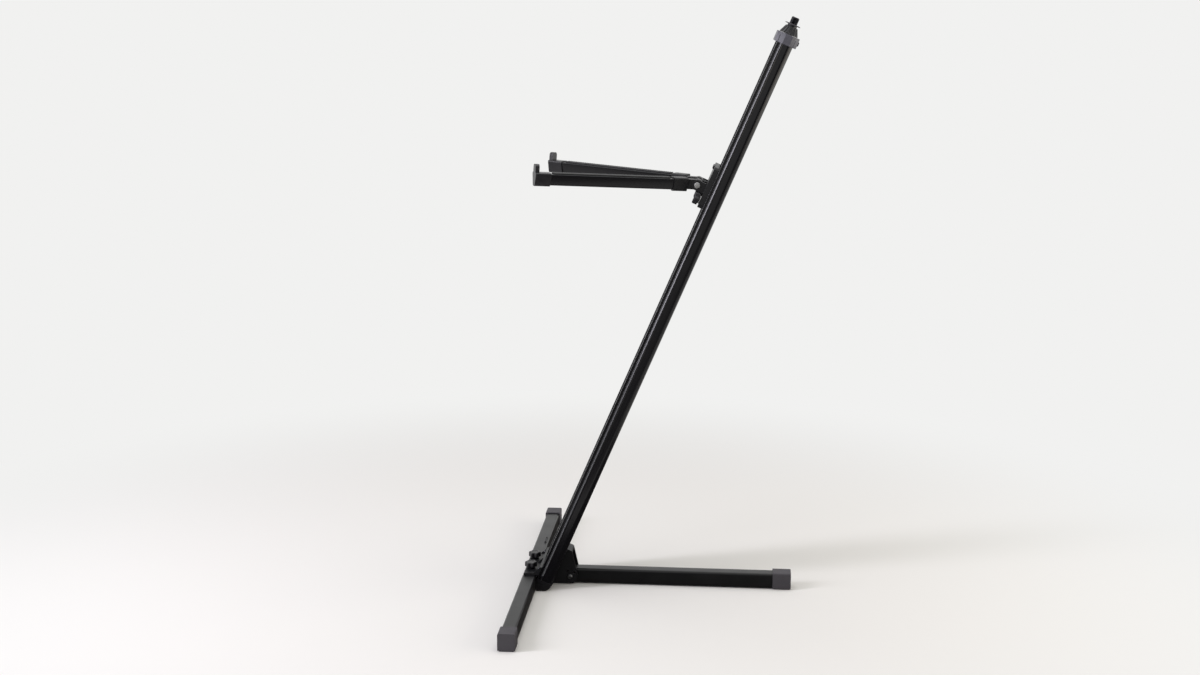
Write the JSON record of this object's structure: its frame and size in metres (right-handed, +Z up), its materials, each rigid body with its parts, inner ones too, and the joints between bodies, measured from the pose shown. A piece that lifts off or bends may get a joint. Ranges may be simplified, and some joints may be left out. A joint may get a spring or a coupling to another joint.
{
  "type": "folding keyboard stand",
  "caption": "Leaning single-column keyboard stand with folding legs and folding support arms on a sliding carriage, and a threaded boom stud on top.",
  "frame": {"origin": "on the floor, under the middle of the column's end cap", "axes": "+Z up, +X to the rear, the way the column leans, +Y to the player's left"},
  "size_m": [0.5476, 0.774, 1.1482],
  "materials": {
    "black_anodised_aluminium": "glossy black anodised extrusion",
    "black_satin_tube": "satin black painted steel tube",
    "black_coated_steel": "satin black powder coat",
    "black_moulded_plastic": "moulded black plastic, fine grain",
    "grey_moulded_plastic": "satin grey moulded plastic",
    "nylon": "natural nylon",
    "foot_rubber": "matte dark grey rubber",
    "pad_rubber": "matte ribbed rubber",
    "zinc_steel": "zinc plated",
    "black_oxide_steel": "black oxide threaded steel"
  },
  "bodies": {
    "stand": {"column_extrusion": "black_anodised_aluminium", "front_saddle": "black_coated_steel", "rear_bracket": "black_coated_steel", "bottom_cap": "black_moulded_plastic", "boom_adapter_cone": "black_moulded_plastic", "index_bush": "black_moulded_plastic", "top_collar": "grey_moulded_plastic", "rear_pivot_washer_left": "nylon", "rear_pivot_washer_right": "nylon", "boom_washer": "foot_rubber", "saddle_slot_nut_left": "zinc_steel", "saddle_slot_nut_right": "zinc_steel", "front_leg_bolt_left": "zinc_steel", "front_leg_bolt_right": "zinc_steel", "front_knob_washer_left": "zinc_steel", "front_knob_washer_right": "zinc_steel", "bracket_screw_1": "zinc_steel", "bracket_screw_2": "zinc_steel", "bracket_screw_3": "zinc_steel", "bracket_screw_4": "zinc_steel", "rear_pivot_bolt": "zinc_steel", "rear_knob_washer": "zinc_steel", "boom_stud": "black_oxide_steel", "collar_screw_left": "black_oxide_steel", "collar_screw_right": "black_oxide_steel", "saddle_screw_left": "black_oxide_steel", "saddle_screw_right": "black_oxide_steel"},
    "front_leg_right_swing": {"front_leg_right": "black_satin_tube", "front_foot_right": "foot_rubber", "front_leg_nose_plug_right": "black_moulded_plastic"},
    "front_leg_left_swing": {"front_leg_left": "black_satin_tube", "front_foot_left": "foot_rubber", "front_leg_nose_plug_left": "black_moulded_plastic", "leg_bumper_left": "foot_rubber"},
    "front_knob_right_turn": {"front_knob_right": "black_moulded_plastic"},
    "front_knob_left_turn": {"front_knob_left": "black_moulded_plastic"},
    "rear_leg_fold": {"rear_leg": "black_satin_tube", "rear_foot": "foot_rubber", "rear_leg_end_plug": "black_moulded_plastic", "rear_pivot_bush": "nylon"},
    "rear_knob_turn": {"rear_knob": "black_moulded_plastic"},
    "carriage": {"arm_carriage": "black_coated_steel", "slot_key_left": "zinc_steel", "slot_key_right": "zinc_steel", "carriage_knob_washer_left": "zinc_steel", "carriage_knob_washer_right": "zinc_steel", "carriage_stud_left": "zinc_steel", "carriage_stud_right": "zinc_steel", "arm_hinge_pin_left": "zinc_steel", "arm_hinge_pin_right": "zinc_steel"},
    "carriage_knob_right_turn": {"carriage_knob_right": "black_moulded_plastic"},
    "carriage_knob_left_turn": {"carriage_knob_left": "black_moulded_plastic"},
    "arm_right_fold": {"arm_root_right": "black_coated_steel", "arm_right": "black_anodised_aluminium", "arm_cap_right": "black_moulded_plastic", "arm_pad_right": "pad_rubber"},
    "arm_left_fold": {"arm_root_left": "black_coated_steel", "arm_left": "black_anodised_aluminium", "arm_cap_left": "black_moulded_plastic", "arm_pad_left": "pad_rubber"}
  },
  "joints": [
    {"name": "front_leg_right_swing", "type": "hinge", "parent": "stand", "child": "front_leg_right_swing", "pos_m": [-0.0225, -0.031, 0.017], "axis": [0, 0, -1], "range_deg": [0, 90]},
    {"name": "front_leg_left_swing", "type": "hinge", "parent": "stand", "child": "front_leg_left_swing", "pos_m": [-0.0225, 0.031, 0.017], "axis": [0, 0, 1], "range_deg": [0, 90]},
    {"name": "front_knob_right_turn", "type": "hinge", "parent": "stand", "child": "front_knob_right_turn", "pos_m": [-0.0225, -0.031, 0.045], "axis": [0, 0, 1], "continuous": true},
    {"name": "front_knob_left_turn", "type": "hinge", "parent": "stand", "child": "front_knob_left_turn", "pos_m": [-0.0225, 0.031, 0.045], "axis": [0, 0, 1], "continuous": true},
    {"name": "rear_leg_fold", "type": "hinge", "parent": "stand", "child": "rear_leg_fold", "pos_m": [0.0567, 0, 0.017], "axis": [0, -1, 0], "range_deg": [0, 66.75]},
    {"name": "rear_knob_turn", "type": "hinge", "parent": "stand", "child": "rear_knob_turn", "pos_m": [0.0567, 0.03, 0.017], "axis": [0, 1, 0], "continuous": true},
    {"name": "carriage_slide", "type": "slide", "parent": "stand", "child": "carriage", "axis": [0.3947, 0, 0.9188], "range_m": [-0.6, 0.25]},
    {"name": "carriage_knob_right_turn", "type": "hinge", "parent": "carriage", "child": "carriage_knob_right_turn", "pos_m": [0.30687, -0.052, 0.80449], "axis": [-0.9188, 0, 0.3947], "continuous": true},
    {"name": "carriage_knob_left_turn", "type": "hinge", "parent": "carriage", "child": "carriage_knob_left_turn", "pos_m": [0.30687, 0.052, 0.80449], "axis": [-0.9188, 0, 0.3947], "continuous": true},
    {"name": "arm_right_fold", "type": "hinge", "parent": "carriage", "child": "arm_right_fold", "pos_m": [0.30958, -0.024, 0.82727], "axis": [0, 1, 0], "range_deg": [0, 108]},
    {"name": "arm_left_fold", "type": "hinge", "parent": "carriage", "child": "arm_left_fold", "pos_m": [0.30958, 0.024, 0.82727], "axis": [0, 1, 0], "range_deg": [0, 108]}
  ]
}
